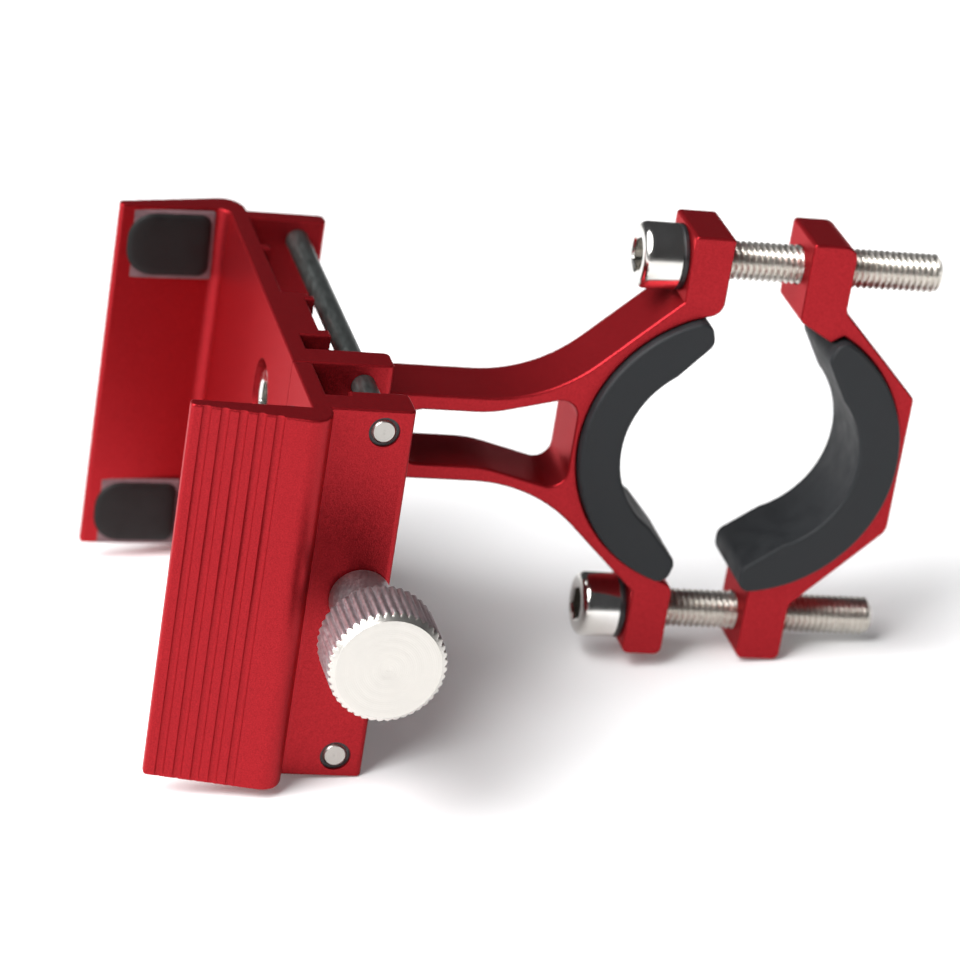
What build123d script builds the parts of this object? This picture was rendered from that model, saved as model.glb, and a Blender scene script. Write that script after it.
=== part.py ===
"""Phone handlebar mount: a bar clamp on a forked stem, with a two-claw phone bracket.

Axes: +X from the phone towards the bar, +Y along the bar, +Z up the phone's long side.
The origin is the centre of the bar, in the middle of the clamp's width. Millimetres.
"""
from build123d import *
from math import atan2, cos, degrees, radians, sin, tan
import os

# ---- driving dimensions -------------------------------------------------------------

# bar clamp
bar_r = 12.7               # a 25.4 mm bar
clamp_width = 10.0         # stem and cap, along the bar
pad_width = 12.6           # rubber pads stand proud of the metal on both sides
seat_r = 19.0              # arc that holds each pad
seat_shift = 0.9           # seat arc centre, from the bar centre towards the gap
lug_face = 2.35            # lug face to bar centre, closed on the bar
lug_thick = 5.3
cap_lug_thick = 5.9        # the cap's lugs are thicker, on the side of the gap
lug_top = 28.95
wall = 1.3                 # metal behind the pads
cap_low_wall = 1.9         # metal behind the lower slant of the cap
cap_flat_wall = 0.8        # thinnest metal, behind the middle of the cap's pad
cap_open = 6.1             # how far the cap stands open at rest
cap_edge_r = 1.0
cap_low_edge_r = 2.2
cap_waist_r = 1.5          # inner corners between the cap's lugs and its slants
cap_corner_r = 1.8         # the outer corner of the cap's upper lug
lug_corner_r = 0.5         # the upper lugs' other corners
lug_foot_r = 1.0           # the lower lugs' corners
lug_lip_r = 2.0            # rounded lip of each stem lug, beside the seat
clamp_rim_r = 0.35         # the rims of the stem's and the cap's flat sides

# rubber pads
pad_gap = 0.05             # pad to seat
pad_end_angle = 75.5       # half angle of the whole pad
pad_bar_angle = 55.5       # half angle of the arc that grips the bar
pad_flare_angle = 48.0     # the pad opens out at this angle past the arc
pad_tip_r = 1.6
cap_pad_slip = 12.0        # degrees that the cap's pad has crept round in its seat

# tooth in the cap, past the upper end of its pad
tooth_x = 6.4              # the tooth's tip
tooth_z = 15.9
tooth_slope = 29.0         # the tooth's lower side falls from the lug at this angle
tooth_back_angle = 33.0    # its other side rises from the tip to the seat at this angle
tooth_root_r = 1.0

# stem
arm_outer = 5.75           # half height over both arms
arm_inner = 3.65           # half height of the opening
arm_sweep_r = 20.0
arm_rise_angle = 43.0
opening_start = -41.5
opening_flare_start = -30.0
opening_end_half = 6.5
opening_web = 0.8          # thin wall left between the opening and the pad seat
opening_end_r = 2.2
opening_flare_r = 15.0
opening_start_r = 3.0

# clamp bolts, M5 x 35 socket heads
bolt_z = 24.35
bolt_r = 2.5
bolt_length = 35.0
head_r = 4.25
head_length = 5.0
hex_flats = 4.0
clamp_socket_depth = 2.6
screw_chamfer = 0.5
washer_thick = 0.7
washer_r = 4.2
bolt_clearance = 0.08

# phone bracket, an extrusion along Z
phone_face = -58.5
bracket_height = 48.8
bracket_mid_z = -10.8
plate_thick = 2.4
bracket_depth = 12.7       # phone face to the back of the walls
near_face = -29.3          # inner side of the sliding claw, closed
far_face = 35.2            # inner side of the fixed claw
near_wall_front = -15.6
near_wall_thick = 4.3
far_wall_thick = 2.6
slide_gap = 0.15           # sliding plate to near wall, closed
boss_depth = 5.1
rib_depth = 6.3
rib_thick = 1.8
rib_step = 0.7             # small notch along the far rib's outer corner
stop_rib_y = 21.5
stop_rib_thick = 1.5
stop_rib_depth = 3.4
block_thick = 5.4
block_neck_thick = 4.1     # the block is undercut next to the plate
block_neck_depth = 5.4
bracket_corner_r = 0.8     # the walls' back corners
bracket_rim_r = 0.3        # the rims of the top and bottom ends

# claws
claw_reach = 14.4          # claw tip to phone face
claw_root = 4.4            # claw thickness at its root
claw_root_x = 0.2          # the thickest place, behind the phone face
claw_root_bow = 0.8        # the rounded way down from there to the plate
claw_root_r = 2.5
claw_tip = 1.6
claw_tip_r = 0.5
near_lean = 0.4            # each claw's inner face leans in by this much at the tip
far_lean = 1.0
far_corner_r = 1.6         # inner corner between the plate and the far claw
groove_count = 5
groove_pitch = 2.1
groove_first = 1.7         # first groove from the tip
groove_depth = 0.3
groove_r = 0.65            # the grooves' round bottom
claw_pad_x = 11.9
claw_pad_z = 9.5
claw_pad_thick = 0.8
top_pad_margin = 0.5       # upper pads to the claws' top end
low_pad_margin = 0.2       # lower pads to the claws' bottom end
claw_pad_from_face = 1.6
claw_pad_turn = 2.0        # the pads are glued on slightly askew
claw_pad_gap = 0.02

# slide hardware
slide_depth = 9.1          # rods and lead screw, behind the phone face
rod_r = 1.5
rod_chamfer = 0.25
rod_spread = 21.6          # rod to bracket middle
rod_recess = 0.1           # rod ends sit this far below the outer faces
screw_r = 2.5
screw_end = 27.5
running_gap = 0.05
press_gap = 0.01
pin_sink_r = 1.9           # a round groove surrounds each rod's near end
pin_sink_depth = 0.8
neck_r = 3.8
neck_length = 10.7
knob_r = 7.1
knob_length = 8.2
knob_bevel = 0.8
knob_gap = 0.1
knob_bore_depth = 12.0
clip_r = 4.4
clip_thick = 0.8
clip_slot_r = 2.1
clip_opening = 3.6

# stem screw, M5 low head
stem_screw_z = 2.0         # above the arms' middle, clear of the lead screw
stem_screw_reach = 8.0     # thread length into the stem
stem_hole_depth = 8.6
stem_socket_depth = 2.0
low_head_length = 3.4
counterbore_r = 4.9
counterbore_depth = 3.8

clear = 1.0                # cutting shapes run past the metal by this much

# ---- derived places ------------------------------------------------------------------

stem_lug_back = -lug_face - lug_thick
head_seat = stem_lug_back - washer_thick
bracket_bottom = bracket_mid_z - bracket_height / 2
bracket_top = bracket_mid_z + bracket_height / 2
near_wall_back = near_wall_front + near_wall_thick
far_wall_front = far_face - far_wall_thick
slide_x = phone_face + slide_depth
rod_heights = (bracket_mid_z + rod_spread, bracket_mid_z - rod_spread)
boss_face = phone_face + boss_depth
bracket_back = phone_face + bracket_depth
block_back = near_face + block_thick


# ---- helpers -------------------------------------------------------------------------

def side_solid(sketch, width):
    """A shape drawn in X and Z, given a width that is centred on Y = 0."""
    return extrude(Plane.XZ * sketch, width / 2, both=True)


def bracket_solid(sketch):
    """A shape drawn in X and Y, as tall as the phone bracket."""
    return extrude(Pos(0, 0, bracket_bottom) * sketch, bracket_height)


def rectangle(x0, x1, y0, y1):
    """A rectangle between two corners."""
    return Pos((x0 + x1) / 2, (y0 + y1) / 2) * Rectangle(x1 - x0, y1 - y0)


def rod_x(x0, x1, radius, z=0.0, y=0.0):
    """A round bar along X."""
    return Plane((x0, y, z), z_dir=(1, 0, 0)) * extrude(Circle(radius), x1 - x0)


def rod_y(y0, y1, radius, z, x=slide_x):
    """A round bar along Y."""
    return Plane((x, y0, z), z_dir=(0, 1, 0)) * extrude(Circle(radius), y1 - y0)


def sector(centre_x, radius, start, end):
    """A pie slice about (centre_x, 0), between two angles in degrees."""
    steps = [start, (start + end) / 2, end]
    rim = [(centre_x + radius * cos(radians(a)), radius * sin(radians(a))) for a in steps]
    edges = Line((centre_x, 0), rim[0]) + ThreePointArc(*rim) + Line(rim[2], (centre_x, 0))
    return make_face(edges)


def mirrored_polygon(upper_half):
    """A closed outline from its upper half, mirrored below the X axis."""
    lower_half = [(x, -z) for x, z in reversed(upper_half)]
    return Polygon(*upper_half, *lower_half, align=None)


def corner_near(sketch, x, y):
    """The sketch corner nearest to a point."""
    return sketch.vertices().sort_by_distance((x, y, 0))[0]


def soften_rims(solid, axis, radius):
    """Round the rims of an extruded solid's two flat ends."""
    rims = solid.edges().group_by(axis)
    return fillet(rims[0] + rims[-1], radius)


def socket_screw(head_start, head_size, length, socket_depth):
    """A socket head screw along +X: the head's outer end is at head_start."""
    screw = rod_x(head_start, head_start + head_size, head_r)
    screw = chamfer(screw.edges().sort_by(Axis.X)[0], screw_chamfer)
    screw += rod_x(head_start + head_size, head_start + head_size + length, bolt_r)
    screw = chamfer(screw.edges().sort_by(Axis.X)[-1], screw_chamfer)
    hexagon = RegularPolygon(hex_flats / 2, 6, major_radius=False)
    socket = Plane((head_start, 0, 0), z_dir=(1, 0, 0)) * extrude(hexagon, socket_depth)
    return screw - socket


# ---- bar clamp -----------------------------------------------------------------------

def pad_profile():
    """The stem's pad from the side: it grips the bar and flares out past the grip."""
    body = sector(seat_shift, seat_r - pad_gap, 180 - pad_end_angle, 180 + pad_end_angle)
    grip_x = -bar_r * cos(radians(pad_bar_angle))
    grip_z = bar_r * sin(radians(pad_bar_angle))
    mouth_x = grip_x + seat_r * cos(radians(pad_flare_angle))
    mouth_z = grip_z + seat_r * sin(radians(pad_flare_angle))
    mouth = mirrored_polygon([(grip_x, grip_z), (mouth_x, mouth_z)])
    body -= mouth + Circle(bar_r)
    tips = body.vertices().sort_by(Axis.X)[-4:]
    return fillet(tips, pad_tip_r)


def stem_outline():
    """The stem from the side, before the pad seat and the opening are cut."""
    lug_x = stem_lug_back
    rise_z = bolt_z - head_r
    rise_x = lug_x - (rise_z - arm_outer) / sin(radians(arm_rise_angle)) * cos(radians(arm_rise_angle))
    half = [
        (boss_face, arm_outer),
        (rise_x, arm_outer),
        (lug_x, rise_z),
        (lug_x, lug_top),
        (-lug_face, lug_top),
    ]
    outline = mirrored_polygon(half)
    for side, corner_r in ((1, lug_corner_r), (-1, lug_foot_r)):
        outline = fillet(corner_near(outline, rise_x, side * arm_outer), arm_sweep_r)
        outline = fillet(corner_near(outline, lug_x, side * lug_top), corner_r)
        outline = fillet(corner_near(outline, -lug_face, side * lug_top), corner_r)
    return outline


def stem_opening():
    """The slot between the arms: it widens towards the clamp."""
    end_x = seat_shift - seat_r - opening_web
    half = [(opening_start, arm_inner), (opening_flare_start, arm_inner), (end_x, opening_end_half)]
    slot = mirrored_polygon(half)
    for side in (1, -1):
        slot = fillet(corner_near(slot, end_x, side * opening_end_half), opening_end_r)
        slot = fillet(corner_near(slot, opening_flare_start, side * arm_inner), opening_flare_r)
        slot = fillet(corner_near(slot, opening_start, side * arm_inner), opening_start_r)
    return slot


def make_stem():
    profile = stem_outline() - stem_opening() - Pos(seat_shift, 0) * Circle(seat_r)
    for side in (1, -1):
        profile = fillet(corner_near(profile, -lug_face, side * seat_r), lug_lip_r)
    stem = soften_rims(side_solid(profile, clamp_width), Axis.Y, clamp_rim_r)
    for side in (1, -1):
        stem -= rod_x(stem_lug_back - clear, 0, bolt_r + bolt_clearance, side * bolt_z)
    screw_hole = rod_x(boss_face - clear, boss_face + stem_hole_depth, bolt_r + press_gap, stem_screw_z)
    return stem - screw_hole


def cap_outline():
    """The cap from the side, closed on the bar: three flats of an octagon between two lugs."""
    top_slant = (seat_r + wall) * 2 ** 0.5 - seat_shift
    low_slant = (seat_r + cap_low_wall) * 2 ** 0.5 - seat_shift
    flat_x = seat_r + cap_flat_wall - seat_shift
    lug_x = lug_face + lug_thick
    gap_x = lug_x - cap_lug_thick
    corners = [
        (gap_x, lug_top, lug_corner_r),
        (lug_x, lug_top, cap_corner_r),
        (lug_x, top_slant - lug_x, cap_waist_r),
        (flat_x, top_slant - flat_x, cap_edge_r),
        (flat_x, flat_x - low_slant, cap_low_edge_r),
        (lug_x, lug_x - low_slant, cap_waist_r),
        (lug_x, -lug_top, lug_foot_r),
        (gap_x, -lug_top, lug_foot_r),
    ]
    outline = Polygon(*[(x, z) for x, z, _ in corners], align=None)
    for x, z, radius in corners:
        outline = fillet(corner_near(outline, x, z), radius)
    return outline


def cap_tooth():
    """The metal inside the seat's circle, past the upper end of the cap's pad."""
    gap_x = lug_face + lug_thick - cap_lug_thick
    root_z = tooth_z + (tooth_x - gap_x) * tan(radians(tooth_slope))
    back_x = tooth_x + seat_r * cos(radians(tooth_back_angle))
    back_z = tooth_z + seat_r * sin(radians(tooth_back_angle))
    return Polygon((gap_x, root_z), (tooth_x, tooth_z), (back_x, back_z), (gap_x, back_z), align=None)


def cap_profile():
    """The cap from the side, with its seat and its tooth."""
    gap_x = lug_face + lug_thick - cap_lug_thick
    root_z = tooth_z + (tooth_x - gap_x) * tan(radians(tooth_slope))
    seat = Pos(-seat_shift, 0) * Circle(seat_r) - cap_tooth()
    return fillet(corner_near(cap_outline() - seat, gap_x, root_z), tooth_root_r)


def make_clamp_cap():
    cap = soften_rims(side_solid(cap_profile(), clamp_width), Axis.Y, clamp_rim_r)
    for side in (1, -1):
        cap -= rod_x(0, lug_face + lug_thick + clear, bolt_r + bolt_clearance, side * bolt_z)
    return Pos(cap_open, 0, 0) * cap


def make_stem_pad():
    return side_solid(pad_profile(), pad_width)


def make_cap_pad():
    """The same pad, turned to face the other way and crept round in the cap's seat."""
    profile = Pos(-seat_shift, 0) * Rot(0, 0, -cap_pad_slip) * Pos(seat_shift, 0) * mirror(
        pad_profile(), Plane.YZ
    )
    return Pos(cap_open, 0, 0) * side_solid(profile, pad_width)


def make_clamp_bolt(side):
    bolt = socket_screw(head_seat - head_length, head_length, bolt_length, clamp_socket_depth)
    return Pos(0, 0, side * bolt_z) * bolt


def make_bolt_washer(side):
    ring = rod_x(head_seat, stem_lug_back, washer_r)
    ring -= rod_x(head_seat, stem_lug_back, bolt_r + bolt_clearance)
    return Pos(0, 0, side * bolt_z) * ring


# ---- phone bracket -------------------------------------------------------------------

def claw_profile(lean):
    """A claw in X and Y, with its inner corner at the origin and its outside facing +Y."""
    root = (plate_thick, 0)
    shoulder = (claw_root_x, claw_root)
    tip_outer = (-claw_reach, claw_tip - lean)
    tip_inner = (-claw_reach, -lean)
    edges = SagittaArc(root, shoulder, -claw_root_bow)
    edges += Polyline(shoulder, tip_outer, tip_inner, (0, 0), root)
    claw = make_face(edges)
    claw = fillet(corner_near(claw, *shoulder), claw_root_r)
    for tip in (tip_outer, tip_inner):
        claw = fillet(corner_near(claw, *tip), claw_tip_r)
    return claw


def claw_grooves(lean):
    """Shallow round grooves across the outside of a claw drawn by claw_profile."""
    slope = (claw_root - claw_tip + lean) / (claw_root_x + claw_reach)
    above = groove_r - groove_depth
    grooves = Sketch()
    for index in range(groove_count):
        from_tip = groove_first + index * groove_pitch
        surface = claw_tip - lean + slope * from_tip
        grooves += Pos(from_tip - claw_reach, surface + above) * Circle(groove_r)
    return grooves


def make_fixed_bracket():
    """Plate, near wall, ribbed boss for the stem, far wall and the far claw."""
    x = phone_face
    channel = clamp_width / 2 + running_gap
    rib_edge = channel + rib_thick
    profile = rectangle(x, x + plate_thick, near_wall_front, far_face)
    profile += rectangle(x, bracket_back, near_wall_front, near_wall_back)
    profile += rectangle(x, bracket_back, far_wall_front, far_face)
    profile += rectangle(x, x + rib_depth, -rib_edge, rib_edge)
    profile -= rectangle(boss_face, x + rib_depth, -channel, channel)
    profile -= rectangle(x + rib_depth - rib_step, x + rib_depth, rib_edge - rib_step, rib_edge)
    profile += rectangle(x, x + stop_rib_depth, stop_rib_y, stop_rib_y + stop_rib_thick)
    profile += Pos(x, far_face) * claw_profile(far_lean)
    profile = fillet(corner_near(profile, x, far_face), far_corner_r)
    for y in (near_wall_front, near_wall_back, far_wall_front, far_face):
        profile = fillet(corner_near(profile, bracket_back, y), bracket_corner_r)
    bracket = soften_rims(bracket_solid(profile), Axis.Z, bracket_rim_r)
    bracket -= bracket_solid(Pos(x, far_face) * claw_grooves(far_lean))
    outside = far_face + claw_root + clear
    for z in rod_heights:
        bracket -= rod_y(near_wall_front - clear, outside, rod_r + running_gap, z)
    bracket -= rod_y(near_wall_front - clear, near_wall_back + clear, screw_r + running_gap, bracket_mid_z)
    bracket -= rod_x(x - clear, x + counterbore_depth, counterbore_r, stem_screw_z)
    return bracket - rod_x(x, boss_face + clear, bolt_r + bolt_clearance, stem_screw_z)


def make_sliding_claw():
    """Near claw, its strip of plate and the block that carries the rods and the knob."""
    x = phone_face
    profile = rectangle(x, x + plate_thick, near_face, near_wall_front - slide_gap)
    profile += rectangle(x, bracket_back, near_face, block_back)
    profile -= rectangle(x + plate_thick, x + block_neck_depth, near_face + block_neck_thick, block_back)
    profile += Pos(x, near_face) * mirror(claw_profile(near_lean), Plane.XZ)
    for y in (near_face, block_back):
        profile = fillet(corner_near(profile, bracket_back, y), bracket_corner_r)
    claw = soften_rims(bracket_solid(profile), Axis.Z, bracket_rim_r)
    claw -= bracket_solid(Pos(x, near_face) * mirror(claw_grooves(near_lean), Plane.XZ))
    for z in rod_heights:
        claw -= rod_y(near_face - clear, block_back + clear, rod_r + press_gap, z)
        claw -= rod_y(near_face - clear, near_face + pin_sink_depth, pin_sink_r, z)
    return claw - rod_y(near_face - clear, block_back + clear, screw_r + running_gap, bracket_mid_z)


def make_guide_rod(z):
    rod = rod_y(near_face + rod_recess, far_face - rod_recess, rod_r, z)
    return chamfer(rod.edges().filter_by(GeomType.CIRCLE), rod_chamfer)


def make_lead_screw():
    """The M5 screw that pulls the sliding claw in, with a groove for its snap ring."""
    screw = rod_y(near_face - knob_gap - knob_bore_depth, screw_end, screw_r, bracket_mid_z)
    screw = chamfer(screw.edges().sort_by(Axis.Y)[-1], screw_chamfer)
    groove_start = block_back + knob_gap
    groove_end = groove_start + clip_thick
    groove = rod_y(groove_start, groove_end, screw_r + clear, bracket_mid_z)
    groove -= rod_y(groove_start, groove_end, clip_slot_r, bracket_mid_z)
    return screw - groove


def make_knob():
    """A round head on a slimmer neck, bored to take the lead screw."""
    back = near_face - knob_gap
    head_back = back - neck_length
    head = rod_y(head_back - knob_length, head_back, knob_r, bracket_mid_z)
    head = chamfer(head.edges().filter_by(GeomType.CIRCLE), knob_bevel)
    knob = head + rod_y(head_back, back, neck_r, bracket_mid_z)
    return knob - rod_y(back - knob_bore_depth, back, screw_r + press_gap, bracket_mid_z)


def make_screw_clip():
    """A snap ring in the lead screw's groove: it keeps the screw in the sliding block."""
    start = block_back + knob_gap + press_gap
    end = start + clip_thick - 2 * press_gap
    ring = rod_y(start, end, clip_r, bracket_mid_z)
    ring -= rod_y(start, end, clip_slot_r + press_gap, bracket_mid_z)
    mouth = Box(clip_r + clear, clip_thick, clip_opening, align=(Align.MIN, Align.CENTER, Align.CENTER))
    return ring - Pos(slide_x, (start + end) / 2, bracket_mid_z) * mouth


def make_stem_screw():
    head_start = phone_face + counterbore_depth - low_head_length
    length = boss_depth - counterbore_depth + stem_screw_reach
    return Pos(0, 0, stem_screw_z) * socket_screw(head_start, low_head_length, length, stem_socket_depth)


def make_claw_pad(far, upper):
    """A thin rubber pad on a claw's inner side, near its top or bottom end."""
    outward = 1 if far else -1
    root_y = far_face if far else near_face
    lean_angle = degrees(atan2(far_lean if far else near_lean, claw_reach))
    upper_z = bracket_top - top_pad_margin - claw_pad_z / 2
    lower_z = bracket_bottom + low_pad_margin + claw_pad_z / 2
    pad = Rot(0, -claw_pad_turn, 0) * Box(claw_pad_x, claw_pad_thick, claw_pad_z)
    middle_x = -claw_pad_from_face - claw_pad_x / 2
    middle_y = -outward * (claw_pad_gap + claw_pad_thick / 2)
    on_claw = Rot(0, 0, outward * lean_angle) * Pos(middle_x, middle_y) * pad
    return Pos(phone_face, root_y, upper_z if upper else lower_z) * on_claw


# ---- write the pieces -----------------------------------------------------------------

pieces = {
    "stem": make_stem(),
    "clamp_cap": make_clamp_cap(),
    "stem_pad": make_stem_pad(),
    "cap_pad": make_cap_pad(),
    "upper_clamp_bolt": make_clamp_bolt(1),
    "lower_clamp_bolt": make_clamp_bolt(-1),
    "upper_bolt_washer": make_bolt_washer(1),
    "lower_bolt_washer": make_bolt_washer(-1),
    "fixed_bracket": make_fixed_bracket(),
    "sliding_claw": make_sliding_claw(),
    "upper_guide_rod": make_guide_rod(rod_heights[0]),
    "lower_guide_rod": make_guide_rod(rod_heights[1]),
    "lead_screw": make_lead_screw(),
    "knob": make_knob(),
    "screw_clip": make_screw_clip(),
    "stem_screw": make_stem_screw(),
    "far_upper_pad": make_claw_pad(True, True),
    "far_lower_pad": make_claw_pad(True, False),
    "near_upper_pad": make_claw_pad(False, True),
    "near_lower_pad": make_claw_pad(False, False),
}

os.makedirs("parts", exist_ok=True)
for name, piece in pieces.items():
    export_step(piece, f"parts/{name}.step")
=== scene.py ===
"""The phone handlebar mount's looks: red metal, rubber pads, steel screws and a nickel knob."""

import bmesh
import bpy
from math import atan, cos, floor, pi, radians, sin, tau
from mathutils import Matrix, Vector


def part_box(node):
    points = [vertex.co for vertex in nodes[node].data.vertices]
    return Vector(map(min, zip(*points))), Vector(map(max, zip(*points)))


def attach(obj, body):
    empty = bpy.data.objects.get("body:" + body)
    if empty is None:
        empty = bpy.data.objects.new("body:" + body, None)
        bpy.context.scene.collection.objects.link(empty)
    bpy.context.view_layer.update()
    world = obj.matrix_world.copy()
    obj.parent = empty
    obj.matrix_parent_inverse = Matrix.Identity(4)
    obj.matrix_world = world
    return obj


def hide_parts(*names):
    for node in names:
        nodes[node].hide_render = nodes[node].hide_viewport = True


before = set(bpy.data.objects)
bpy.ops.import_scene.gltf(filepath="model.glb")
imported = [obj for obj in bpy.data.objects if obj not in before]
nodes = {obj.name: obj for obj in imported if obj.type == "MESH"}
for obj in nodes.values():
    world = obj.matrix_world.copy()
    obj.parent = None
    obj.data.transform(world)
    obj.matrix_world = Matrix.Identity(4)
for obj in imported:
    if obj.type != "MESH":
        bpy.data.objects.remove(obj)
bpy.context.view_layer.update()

MM = 0.001

# ---- dimensions that the CAD boxes don't give, in metres --------------------------------

THREAD_PITCH = 0.8 * MM
THREAD_DEPTH = 0.4 * MM
THREAD_CHAMFER = 0.6 * MM
THREAD_START = 0.3 * MM         # bare shank between a head and its thread
THREAD_FLAT = 0.14              # share of the half pitch that is flat at the crest
THREAD_SLOPE = 0.68             # share of the half pitch that slopes
ROWS_PER_TURN = 8
THREAD_COLUMNS = 48
SHANK_RADIUS = 2.5 * MM
HEAD_COLUMNS = 96
HEAD_ROUND = 1.1 * MM
HEAD_ROUND_STEPS = 7
HEAD_FOOT = 0.2 * MM            # small chamfer under a head
HEX_FLATS = 4.0 * MM
HEX_CHAMFER = 0.25 * MM
CLAMP_SOCKET_DEPTH = 2.6 * MM
STEM_SOCKET_DEPTH = 2.0 * MM
STEM_HEAD_LENGTH = 3.4 * MM
WASHER_GAP = 0.08 * MM
WASHER_EDGE = 0.15 * MM
CLIP_NECK_RADIUS = 2.09 * MM

KNURL_COUNT = 44
KNURL_DEPTH = 0.38 * MM
KNOB_BEVEL = 0.8 * MM
KNOB_BACK_BEVEL = 0.4 * MM
NECK_RADIUS = 3.8 * MM
NECK_LENGTH = 10.7 * MM
NECK_ROUND = 0.3 * MM
NECK_CHAMFER = 0.25 * MM
CENTRE_MARK = 0.4 * MM
ROD_BEVEL = 0.25 * MM
ROD_MARK = 0.2 * MM
PIN_SINK_RADIUS = 1.89 * MM
PIN_SHADE_RING_THICK = 0.04 * MM      # of the black ring that paints shade into a sink
POINT_RADIUS = 0.02 * MM        # closes a turned shape near its axis

MERGE_DISTANCE = 0.002 * MM
PAD_EDGE = 0.45 * MM
PAD_THICKNESS = 0.8 * MM

# claw pads, from their glued side up: height, inset, corner radii at tip and root, material
PAD_LEVELS = [
    (0, 0, 0.3 * MM, 0.3 * MM, 0),
    (0.2 * MM, 0, 0.3 * MM, 0.3 * MM, 0),
    (0.3 * MM, 0.1 * MM, 0.4 * MM, 0.4 * MM, 0),
    (0.3 * MM, 0.45 * MM, 3.6 * MM, 1.5 * MM, 0),
    (0.5 * MM, 0.55 * MM, 3.5 * MM, 1.4 * MM, 1),
    (0.66 * MM, 0.8 * MM, 3.3 * MM, 1.3 * MM, 1),
    (0.75 * MM, 1.4 * MM, 2.8 * MM, 1.2 * MM, 1),
    (0.79 * MM, 2.8 * MM, 1.6 * MM, 0.8 * MM, 1),
]
PAD_CORNER_STEPS = 8

SHEET_HALF = 3.0                # half side of the floor sheet
LUG_FOOT_X = 7.6 * MM           # where the cap's lug stands, past the cap's nearest point
FLOOR_GLOW = 0.13               # lifts the sheet's shadows, like a lit table

X_AXIS = Vector((1, 0, 0))
Y_AXIS = Vector((0, 1, 0))
Z_AXIS = Vector((0, 0, 1))


# ---- materials --------------------------------------------------------------------------

class Finish:
    """A node material around one Principled shader, with short ways to add and join nodes."""

    def __init__(self, name, metallic=0.0, roughness=0.5):
        self.material = bpy.data.materials.new(name)
        self.material.use_nodes = True
        self.tree = self.material.node_tree
        self.shader = self.tree.nodes["Principled BSDF"]
        self.set("Roughness", roughness)
        self.set("Metallic", metallic)
        self.place = self.add("ShaderNodeTexCoord").outputs["Object"]

    def add(self, kind, **settings):
        made = self.tree.nodes.new(kind)
        for name, value in settings.items():
            setattr(made, name, value)
        return made

    def join(self, output, target):
        self.tree.links.new(output, target)

    def set(self, name, value):
        self.shader.inputs[name].default_value = value

    def noise(self, scale, detail=2.0, stretch=(1, 1, 1)):
        """Noise from 0 to 1, with scale in features per metre."""
        mapping = self.add("ShaderNodeMapping")
        mapping.inputs["Scale"].default_value = stretch
        texture = self.add("ShaderNodeTexNoise")
        texture.inputs["Scale"].default_value = scale
        texture.inputs["Detail"].default_value = detail
        self.join(self.place, mapping.inputs["Vector"])
        self.join(mapping.outputs["Vector"], texture.inputs["Vector"])
        return texture.outputs["Fac"]

    def roughness(self, factor, low, high):
        """Roughness that goes from low to high as factor goes from 0.3 to 0.7."""
        spread = self.add("ShaderNodeMapRange")
        limits = {"From Min": 0.3, "From Max": 0.7, "To Min": low, "To Max": high}
        for name, value in limits.items():
            spread.inputs[name].default_value = value
        self.join(factor, spread.inputs["Value"])
        self.join(spread.outputs["Result"], self.shader.inputs["Roughness"])

    def tint(self, factor, first, second):
        """Base colour that goes from first to second as factor goes from 0.3 to 0.7."""
        ramp = self.add("ShaderNodeValToRGB")
        stops = ramp.color_ramp.elements
        for stop, position, colour in zip(stops, (0.3, 0.7), (first, second)):
            stop.position = position
            stop.color = (*colour, 1)
        self.join(factor, ramp.inputs["Fac"])
        self.join(ramp.outputs["Color"], self.shader.inputs["Base Color"])

    def bump(self, height, distance, strength=1.0):
        """Adds fine relief on top of any bump that is already there."""
        made = self.add("ShaderNodeBump")
        made.inputs["Distance"].default_value = distance
        made.inputs["Strength"].default_value = strength
        self.join(height, made.inputs["Height"])
        slot = self.shader.inputs["Normal"]
        if slot.is_linked:
            self.join(slot.links[0].from_socket, made.inputs["Normal"])
        self.join(made.outputs["Normal"], slot)

    def rings(self, axis_place, spacing):
        """Fine turned rings round an axis along Y through axis_place, from -1 to 1."""
        centred = self.add("ShaderNodeVectorMath", operation="SUBTRACT")
        centred.inputs[1].default_value = axis_place
        flat = self.add("ShaderNodeVectorMath", operation="MULTIPLY")
        flat.inputs[1].default_value = (1, 0, 1)
        length = self.add("ShaderNodeVectorMath", operation="LENGTH")
        turns = self.add("ShaderNodeMath", operation="MULTIPLY")
        turns.inputs[1].default_value = tau / spacing
        wave = self.add("ShaderNodeMath", operation="SINE")
        self.join(self.place, centred.inputs[0])
        self.join(centred.outputs["Vector"], flat.inputs[0])
        self.join(flat.outputs["Vector"], length.inputs[0])
        self.join(length.outputs["Value"], turns.inputs[0])
        self.join(turns.outputs["Value"], wave.inputs[0])
        return wave.outputs["Value"]


def red_anodised():
    """Fine bead-blasted aluminium under a deep red anodised skin."""
    finish = Finish("red_anodised", metallic=0.75)
    grain = finish.noise(6500, detail=3)
    finish.tint(grain, (0.24, 0.009, 0.013), (0.39, 0.017, 0.023))
    finish.roughness(grain, 0.3, 0.42)
    finish.set("Specular Tint", (1, 0.4, 0.42, 1))
    finish.bump(grain, 0.04 * MM, 0.7)
    return finish.material


def moulded_rubber(name, dark, light):
    """Matt moulded rubber with a faint bloom between two greys."""
    finish = Finish(name)
    bloom = finish.noise(420, detail=5)
    finish.tint(bloom, dark, light)
    finish.roughness(bloom, 0.52, 0.72)
    finish.set("Specular IOR Level", 0.3)
    finish.bump(finish.noise(2600, detail=3), 0.03 * MM, 0.3)
    return finish.material


def pad_backing():
    """The thin, paler base that each claw pad stands on."""
    finish = Finish("pad_backing", roughness=0.5)
    speckle = finish.noise(900, detail=4)
    finish.tint(speckle, (0.11, 0.062, 0.07), (0.17, 0.10, 0.11))
    finish.bump(finish.noise(2600, detail=3), 0.03 * MM, 0.3)
    return finish.material


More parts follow.
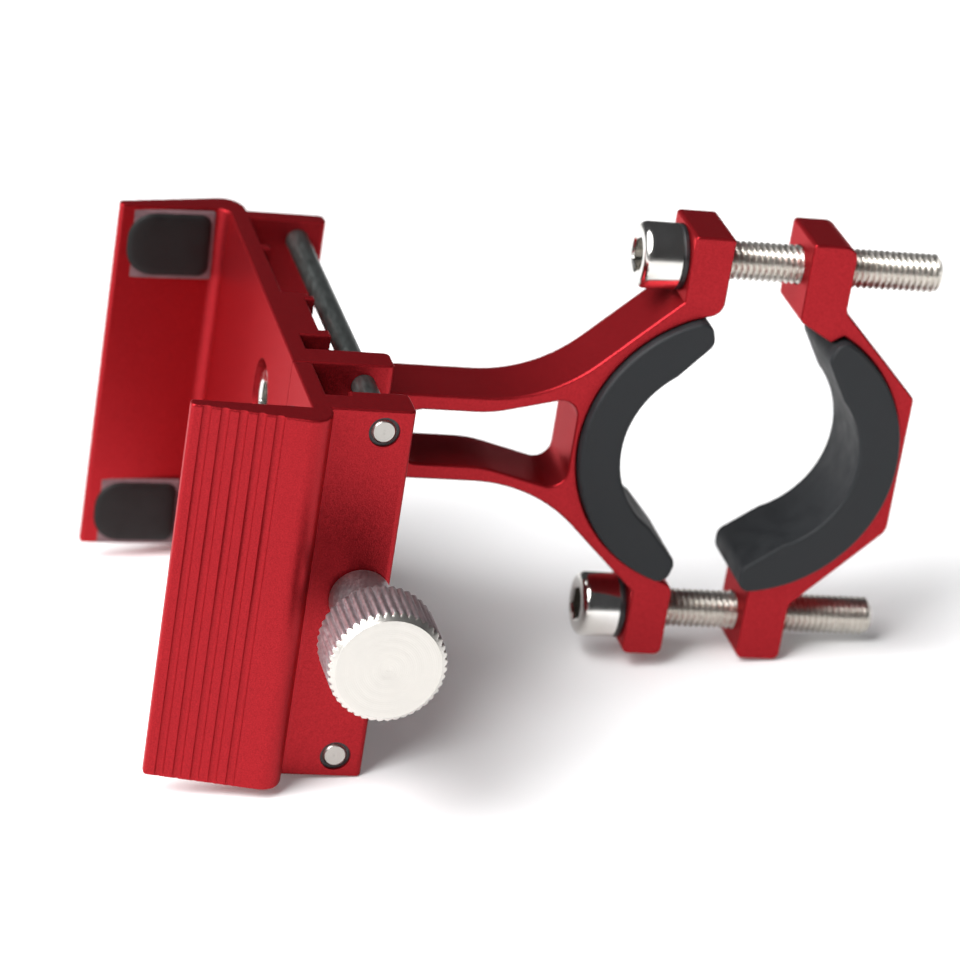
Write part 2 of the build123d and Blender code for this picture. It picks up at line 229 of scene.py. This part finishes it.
def polished_steel():
    """Bright stainless steel with faint machining streaks round the bolt's axis."""
    finish = Finish("polished_steel", metallic=1.0)
    streaks = finish.noise(900, detail=3, stretch=(6, 1, 1))
    finish.roughness(streaks, 0.10, 0.20)
    smudge = finish.noise(180, detail=4)
    finish.tint(smudge, (0.66, 0.64, 0.60), (0.80, 0.79, 0.77))
    finish.bump(streaks, 0.01 * MM, 0.15)
    return finish.material


def black_washer():
    """Satin black, for the washers and for the shade painted into the rods' sinks."""
    finish = Finish("black_washer")
    dust = finish.noise(1500, detail=4)
    finish.tint(dust, (0.008, 0.008, 0.009), (0.02, 0.02, 0.022))
    finish.roughness(dust, 0.32, 0.5)
    return finish.material


def steel_rod():
    """Oiled ground steel, dark with a green cast."""
    finish = Finish("steel_rod", metallic=0.9)
    patches = finish.noise(1800, detail=5, stretch=(1, 0.3, 1))
    finish.tint(patches, (0.1, 0.112, 0.108), (0.15, 0.163, 0.158))
    finish.roughness(patches, 0.36, 0.5)
    finish.bump(finish.noise(2400, detail=2, stretch=(1, 0.1, 1)), 0.01 * MM, 0.3)
    return finish.material


def bright_nickel(name, axis_place, tone):
    """Bright nickel, with fine turned rings on the faces that end the shape."""
    finish = Finish(name, metallic=1.0)
    smudge = finish.noise(300, detail=5)
    light = [tone * share for share in (1, 0.96, 0.9)]
    dark = [0.92 * channel for channel in light]
    finish.tint(smudge, dark, light)
    finish.roughness(smudge, 0.3, 0.42)
    finish.bump(finish.rings(axis_place, 1.1 * MM), 0.01 * MM, 0.8)
    finish.bump(finish.rings(axis_place, 0.25 * MM), 0.004 * MM, 0.8)
    return finish.material


def satin_nickel():
    """The duller nickel of the knob's side and neck."""
    finish = Finish("satin_nickel", metallic=1.0)
    grain = finish.noise(2500, detail=4)
    finish.tint(grain, (0.37, 0.33, 0.35), (0.48, 0.44, 0.45))
    finish.roughness(grain, 0.42, 0.56)
    finish.bump(grain, 0.02 * MM, 0.4)
    return finish.material


def thread_steel():
    """Rolled stainless threads, duller than the bolts' heads."""
    finish = Finish("thread_steel", metallic=1.0)
    grain = finish.noise(2500, detail=3)
    finish.tint(grain, (0.6, 0.57, 0.52), (0.72, 0.69, 0.64))
    finish.roughness(grain, 0.26, 0.38)
    return finish.material


def white_floor():
    """A plain, nearly white sheet."""
    finish = Finish("white_floor", roughness=0.7)
    finish.tint(finish.noise(2, detail=2), (0.895, 0.895, 0.9), (0.91, 0.91, 0.912))
    finish.set("Specular IOR Level", 0.2)
    finish.set("Emission Color", (1, 1, 1, 1))
    finish.set("Emission Strength", FLOOR_GLOW)
    return finish.material


red = red_anodised()
rubber = moulded_rubber("pad_rubber", (0.011, 0.012, 0.014), (0.017, 0.019, 0.021))
cushion = moulded_rubber("cushion_rubber", (0.003, 0.0025, 0.0025), (0.006, 0.005, 0.005))
backing = pad_backing()
steel = polished_steel()
thread = thread_steel()
black = black_washer()
rod = steel_rod()


# ---- mesh helpers -----------------------------------------------------------------------

def finished_object(name, bm, materials, sharp_degrees=38):
    """An object from a bmesh, smooth except where its faces meet at a sharp angle."""
    bmesh.ops.remove_doubles(bm, verts=bm.verts, dist=MERGE_DISTANCE)
    bmesh.ops.recalc_face_normals(bm, faces=bm.faces)
    mesh = bpy.data.meshes.new(name)
    bm.to_mesh(mesh)
    bm.free()
    for face in mesh.polygons:
        face.use_smooth = True
    mesh.set_sharp_from_angle(angle=radians(sharp_degrees))
    for material in materials:
        mesh.materials.append(material)
    obj = bpy.data.objects.new(name, mesh)
    bpy.context.scene.collection.objects.link(obj)
    return obj


def lathe(name, start, along, rows, columns, materials, sharp_degrees=38):
    """A turned shape from start along a level axis.

    Each row is (distance along the axis, radius, material number). The radius is a length,
    or a function of the angle. Both ends are closed with a flat face.
    """
    side = along.cross(Z_AXIS)
    other = along.cross(side)
    bm = bmesh.new()
    rings = []
    for distance, radius, _ in rows:
        ring = []
        for column in range(columns):
            angle = tau * column / columns
            reach = radius(angle) if callable(radius) else radius
            spoke = side * cos(angle) + other * sin(angle)
            ring.append(bm.verts.new(start + along * distance + spoke * reach))
        rings.append(ring)
    for (low, high), row in zip(zip(rings, rings[1:]), rows[1:]):
        for column in range(columns):
            right = (column + 1) % columns
            face = bm.faces.new((low[column], low[right], high[right], high[column]))
            face.material_index = row[2]
    for ring, row in ((rings[0], rows[0]), (rings[-1], rows[-1])):
        bm.faces.new(ring).material_index = row[2]
    return finished_object(name, bm, materials, sharp_degrees)


def round_part(node, along):
    """The start, radius and length of a round CAD node that lies along X or Y."""
    low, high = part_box(node)
    length = (high - low).dot(along)
    start = (low + high) / 2 - along * length / 2
    return start, (high.z - low.z) / 2, length


def stand_in(piece, node, body):
    """The piece shows in place of a CAD node, on the node's body."""
    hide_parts(node)
    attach(piece, body)
    return piece


def rounded_copy(name, node, edge_radius, material):
    """A CAD solid's shape as a new mesh, with all its sharp edges rounded."""
    bm = bmesh.new()
    bm.from_mesh(nodes[node].data)
    bmesh.ops.remove_doubles(bm, verts=bm.verts, dist=MERGE_DISTANCE)
    bmesh.ops.dissolve_limit(bm, angle_limit=radians(0.6), verts=bm.verts, edges=bm.edges)
    obj = finished_object(name, bm, [material])
    bevel = obj.modifiers.new("rounded edges", "BEVEL")
    bevel.width = edge_radius
    bevel.segments = 4
    bevel.limit_method = "ANGLE"
    bevel.angle_limit = radians(35)
    bevel.harden_normals = True
    return obj


# ---- screws -----------------------------------------------------------------------------

def hexagon(angle):
    """The socket's radius at an angle."""
    return HEX_FLATS / 2 / cos((angle + pi / 6) % (pi / 3) - pi / 6)


def thread_rows(start, end, material_number):
    """Rows of a helical thread, which runs out at a chamfer at its far end."""

    def row(distance):
        def reach(angle):
            phase = distance / THREAD_PITCH - angle / tau
            slope = abs(2 * (phase - floor(phase)) - 1)
            tooth = min(1, max(0, (slope - THREAD_FLAT) / THREAD_SLOPE))
            run_out = max(0, THREAD_CHAMFER - (end - distance))
            return SHANK_RADIUS - max(THREAD_DEPTH * tooth, run_out)
        return distance, reach, material_number

    count = round((end - start) / THREAD_PITCH * ROWS_PER_TURN)
    return [row(start + (end - start) * index / count) for index in range(count + 1)]


def head_rows(radius, length, socket_depth):
    """Rows of a socket head, from the socket's floor round to the shank."""
    rows = [
        (socket_depth, POINT_RADIUS, 0),
        (socket_depth, hexagon, 0),
        (HEX_CHAMFER, hexagon, 0),
        (0.02 * MM, HEX_FLATS * 0.62, 0),
        (0, HEX_FLATS * 0.65, 0),
        (0, radius - HEAD_ROUND, 0),
    ]
    for index in range(1, HEAD_ROUND_STEPS + 1):
        angle = pi / 2 * index / HEAD_ROUND_STEPS
        rows.append((HEAD_ROUND * (1 - cos(angle)), radius - HEAD_ROUND * (1 - sin(angle)), 0))
    rows.append((length - HEAD_FOOT, radius, 0))
    rows.append((length, radius - HEAD_FOOT, 0))
    rows.append((length, SHANK_RADIUS - 0.05 * MM, 0))
    return rows


def socket_screw(name, node, body, head_length, socket_depth):
    """A socket head screw along +X in a CAD screw's place, with a real thread."""
    start, radius, length = round_part(node, X_AXIS)
    rows = head_rows(radius, head_length, socket_depth)
    rows += thread_rows(head_length + THREAD_START, length, 1)
    piece = lathe(name, start, X_AXIS, rows, HEAD_COLUMNS, [steel, thread], 32)
    return stand_in(piece, node, body)


def clamp_hardware(side):
    """One clamp bolt with its washer."""
    body = f"{side}_bolt"
    washer = f"{side}_bolt_washer"
    bolt = f"{side}_clamp_bolt"
    centre, radius, thick = round_part(washer, X_AXIS)
    head_length = centre.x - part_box(bolt)[0].x
    socket_screw(f"{side}_bolt_steel", bolt, body, head_length, CLAMP_SOCKET_DEPTH)
    rows = [
        (0, SHANK_RADIUS + WASHER_GAP, 0),
        (0, radius - WASHER_EDGE, 0),
        (WASHER_EDGE, radius, 0),
        (thick - WASHER_EDGE, radius, 0),
        (thick, radius - WASHER_EDGE, 0),
        (thick, SHANK_RADIUS + WASHER_GAP, 0),
    ]
    ring = lathe(f"{side}_washer_ring", centre, X_AXIS, rows, HEAD_COLUMNS, [black])
    stand_in(ring, washer, body)


def lead_screw():
    """The screw behind the bracket, threaded past its snap ring."""
    start, _, length = round_part("lead_screw", Y_AXIS)
    clip_start, _, clip_thick = round_part("screw_clip", Y_AXIS)
    clip_from = clip_start.y - start.y
    clip_to = clip_from + clip_thick
    rows = [
        (0, SHANK_RADIUS, 0),
        (clip_from, SHANK_RADIUS, 0),
        (clip_from, CLIP_NECK_RADIUS, 0),
        (clip_to, CLIP_NECK_RADIUS, 0),
    ]
    rows += thread_rows(clip_to, length, 0)
    piece = lathe("lead_screw_steel", start, Y_AXIS, rows, THREAD_COLUMNS, [rod], 32)
    return stand_in(piece, "lead_screw", "screw")


# ---- knob and rods ----------------------------------------------------------------------

def knob():
    """A knurled nickel head with a bevelled, turned face, on a plain neck."""
    start, radius, length = round_part("knob", Y_AXIS)
    head = length - NECK_LENGTH

    def knurled(limit):
        def reach(angle):
            groove = 1 - abs(cos(angle * KNURL_COUNT / 2)) ** 0.7
            return min(radius - KNURL_DEPTH * groove, limit)
        return reach

    dimple = 0.03 * MM
    rows = [(dimple, POINT_RADIUS, 0), (dimple, 0.25 * MM, 0), (0, CENTRE_MARK, 0)]
    rows += [(0, radius * share, 0) for share in (0.3, 0.6)]
    rows.append((0, radius - KNOB_BEVEL - 0.1 * MM, 0))
    bevel_steps = 5
    for index in range(bevel_steps + 1):
        distance = KNOB_BEVEL * index / bevel_steps
        rows.append((distance, knurled(radius - KNOB_BEVEL + distance), 0))
    rows += [(head * share, knurled(radius), 1) for share in (0.3, 0.6)]
    rows += [
        (head - KNOB_BACK_BEVEL, knurled(radius), 1),
        (head, knurled(radius - KNOB_BACK_BEVEL), 1),
        (head, NECK_RADIUS + NECK_ROUND, 1),
        (head + NECK_ROUND, NECK_RADIUS, 1),
        (length - NECK_CHAMFER, NECK_RADIUS, 1),
        (length, NECK_RADIUS - NECK_CHAMFER, 1),
    ]
    face = bright_nickel("nickel_knob", start, 0.62)
    piece = lathe("knob_nickel", start, Y_AXIS, rows, KNURL_COUNT * 6, [face, satin_nickel()], 40)
    return stand_in(piece, "knob", "screw")


def guide_rod(side):
    """A ground rod whose bright near end shows in a sink in the sliding claw, with a black ring
    painted in as the sink's shade.
    """
    node = f"{side}_guide_rod"
    start, radius, length = round_part(node, Y_AXIS)
    sink = ROD_BEVEL + 0.05 * MM
    rows = [
        (0.04 * MM, POINT_RADIUS, 1),
        (0, ROD_MARK, 1),
        (0, radius - ROD_BEVEL, 1),
        (ROD_BEVEL, radius, 1),
        (sink, radius, 1),
        # a thin black ring at the sink's depth: painted shade for the gap round the pin, not a
        # part
        (sink, PIN_SINK_RADIUS, 2),
        (sink + PIN_SHADE_RING_THICK, PIN_SINK_RADIUS, 2),
        (sink + PIN_SHADE_RING_THICK, radius, 2),
    ]
    rows += [(length * share, radius, 0) for share in (0.2, 0.4, 0.6, 0.8)]
    rows += [
        (length - ROD_BEVEL, radius, 0),
        (length, radius - ROD_BEVEL, 1),
        (length - ROD_MARK, POINT_RADIUS, 1),
    ]
    bright = bright_nickel(f"{side}_rod_end", start, 0.45)
    finishes = [rod, bright, black]
    piece = lathe(f"{side}_rod_steel", start, Y_AXIS, rows, THREAD_COLUMNS, finishes)
    return stand_in(piece, node, "claw")


# ---- claw pads --------------------------------------------------------------------------

def pad_outline(width, height, tip_radius, root_radius):
    """A rectangle whose corners are rounder on the side of the claw's tip."""
    points = []
    corners = (
        (1, 1, 0, root_radius),
        (-1, 1, 90, tip_radius),
        (-1, -1, 180, tip_radius),
        (1, -1, 270, root_radius),
    )
    for x_side, z_side, first, radius in corners:
        for step in range(PAD_CORNER_STEPS + 1):
            angle = radians(first + step * 90 / PAD_CORNER_STEPS)
            points.append((
                x_side * (width / 2 - radius) + radius * cos(angle),
                z_side * (height / 2 - radius) + radius * sin(angle),
            ))
    return points


def claw_pad(node, body):
    """A thin base with a raised, D-shaped cushion, in the place of a CAD pad."""
    corners = [vertex.co.copy() for vertex in nodes[node].data.vertices]
    centre = sum(corners, Vector()) / len(corners)
    tip_top = min(corners, key=lambda c: c.x - c.z)
    tip_low = min(corners, key=lambda c: c.x + c.z)
    root_top = max(corners, key=lambda c: c.x + c.z)
    width = (root_top - tip_top).length
    across = (root_top - tip_top).normalized()
    rise = tip_top - tip_low
    rise -= across * rise.dot(across)
    height = rise.length
    rise.normalize()
    normal = across.cross(rise)
    if normal.y * centre.y > 0:
        normal.negate()
    back = centre - normal * PAD_THICKNESS / 2

    bm = bmesh.new()
    rings = []
    for level, inset, tip_radius, root_radius, _ in PAD_LEVELS:
        middle = back + normal * level
        outline = pad_outline(width - 2 * inset, height - 2 * inset, tip_radius, root_radius)
        rings.append([bm.verts.new(middle + across * u + rise * v) for u, v in outline])
    for lower, upper, (*_, material_number) in zip(rings, rings[1:], PAD_LEVELS[1:]):
        for index in range(len(lower)):
            after = (index + 1) % len(lower)
            face = bm.faces.new((lower[index], lower[after], upper[after], upper[index]))
            face.material_index = material_number
    bm.faces.new(rings[0])
    bm.faces.new(rings[-1]).material_index = 1
    piece = finished_object(f"{node}_cushion", bm, [backing, cushion], 50)
    return stand_in(piece, node, body)


# ---- stage ------------------------------------------------------------------------------

def floor_sheet():
    """A white sheet that the bracket's foot and the cap's lower lug rest on."""
    foot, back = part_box("fixed_bracket")
    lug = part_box("clamp_cap")[0]
    slope = atan((lug.z - foot.z) / (lug.x + LUG_FOOT_X - back.x))
    bm = bmesh.new()
    for x, y in ((-1, -1), (1, -1), (1, 1), (-1, 1)):
        bm.verts.new((x * SHEET_HALF, y * SHEET_HALF, 0))
    bm.faces.new(bm.verts)
    sheet = finished_object("sheet", bm, [white_floor()])
    sheet.rotation_euler = (0, -slope, 0)
    sheet.location = (back.x, 0, foot.z)


def aimed_lamp(light, place, direction):
    """A lamp at a place that shines in a direction."""
    lamp = bpy.data.objects.new(light.name, light)
    lamp.location = place
    lamp.rotation_mode = "QUATERNION"
    lamp.rotation_quaternion = direction.to_track_quat("-Z", "Y")
    bpy.context.scene.collection.objects.link(lamp)


def lights():
    """A soft box at the front left, and a broad window light from the left."""
    box = bpy.data.lights.new("front_box", "AREA")
    box.size = 0.6
    box.energy = 8
    place = Vector((-0.7, -0.35, 0.65))
    aimed_lamp(box, place, -place)

    window = bpy.data.lights.new("window", "SUN")
    window.energy = 4.6
    window.angle = radians(65)
    aimed_lamp(window, Vector(), Vector((0.75, 0.1, -0.65)))


def room():
    """Surroundings that are pale below the horizon and dark above it."""
    world = bpy.data.worlds.new("room")
    bpy.context.scene.world = world
    world.use_nodes = True
    tree = world.node_tree
    background = tree.nodes["Background"]
    background.inputs["Strength"].default_value = 0.6
    place = tree.nodes.new("ShaderNodeTexCoord")
    split = tree.nodes.new("ShaderNodeSeparateXYZ")
    shift = tree.nodes.new("ShaderNodeMapRange")
    shift.inputs["From Min"].default_value = -1
    ramp = tree.nodes.new("ShaderNodeValToRGB")
    below, above = ramp.color_ramp.elements
    below.position = 0.5
    below.color = (0.5, 0.5, 0.51, 1)
    above.position = 0.6
    above.color = (0.1, 0.1, 0.105, 1)
    tree.links.new(place.outputs["Generated"], split.inputs["Vector"])
    tree.links.new(split.outputs["Z"], shift.inputs["Value"])
    tree.links.new(shift.outputs["Result"], ramp.inputs["Fac"])
    tree.links.new(ramp.outputs["Color"], background.inputs["Color"])


def camera():
    """A long lens from the knob's side, a little above and rolled, focused near the knob."""
    azimuth = radians(-15.705)
    elevation = radians(23.179)
    roll = radians(9.306)
    back = Vector((sin(azimuth) * cos(elevation), -cos(azimuth) * cos(elevation), sin(elevation)))
    level = Vector((cos(azimuth), sin(azimuth), 0))
    above = back.cross(level)
    right = level * cos(roll) + above * sin(roll)
    up = above * cos(roll) - level * sin(roll)
    data = bpy.data.cameras.new("camera")
    data.lens = 151.06
    data.sensor_width = 36
    data.clip_start = 0.01
    data.clip_end = 20
    shooter = bpy.data.objects.new("camera", data)
    bpy.context.scene.collection.objects.link(shooter)
    turn = Matrix((right, up, back)).transposed().to_4x4()
    shooter.matrix_world = Matrix.Translation((-0.1561, -0.4530, 0.1938)) @ turn
    focus = bpy.data.objects.new("focus", None)
    focus.location = (-0.05, -0.035, -0.01)
    bpy.context.scene.collection.objects.link(focus)
    data.dof.use_dof = True
    data.dof.focus_object = focus
    data.dof.aperture_fstop = 32
    bpy.context.scene.camera = shooter


# ---- put it together --------------------------------------------------------------------

metal_of = {node: red for node in ("stem", "clamp_cap", "fixed_bracket", "sliding_claw")}
metal_of["screw_clip"] = rod
for node, material in metal_of.items():
    nodes[node].data.materials.clear()
    nodes[node].data.materials.append(material)

for node, body in (("stem_pad", "frame"), ("cap_pad", "cap")):
    stand_in(rounded_copy(f"{node}_rubber", node, PAD_EDGE, rubber), node, body)
for side in ("upper", "lower"):
    clamp_hardware(side)
    guide_rod(side)
    claw_pad(f"far_{side}_pad", "frame")
    claw_pad(f"near_{side}_pad", "claw")
socket_screw("stem_screw_steel", "stem_screw", "frame", STEM_HEAD_LENGTH, STEM_SOCKET_DEPTH)
lead_screw()
knob()
floor_sheet()
lights()
room()
camera()
bpy.context.scene.view_settings.view_transform = "Standard"
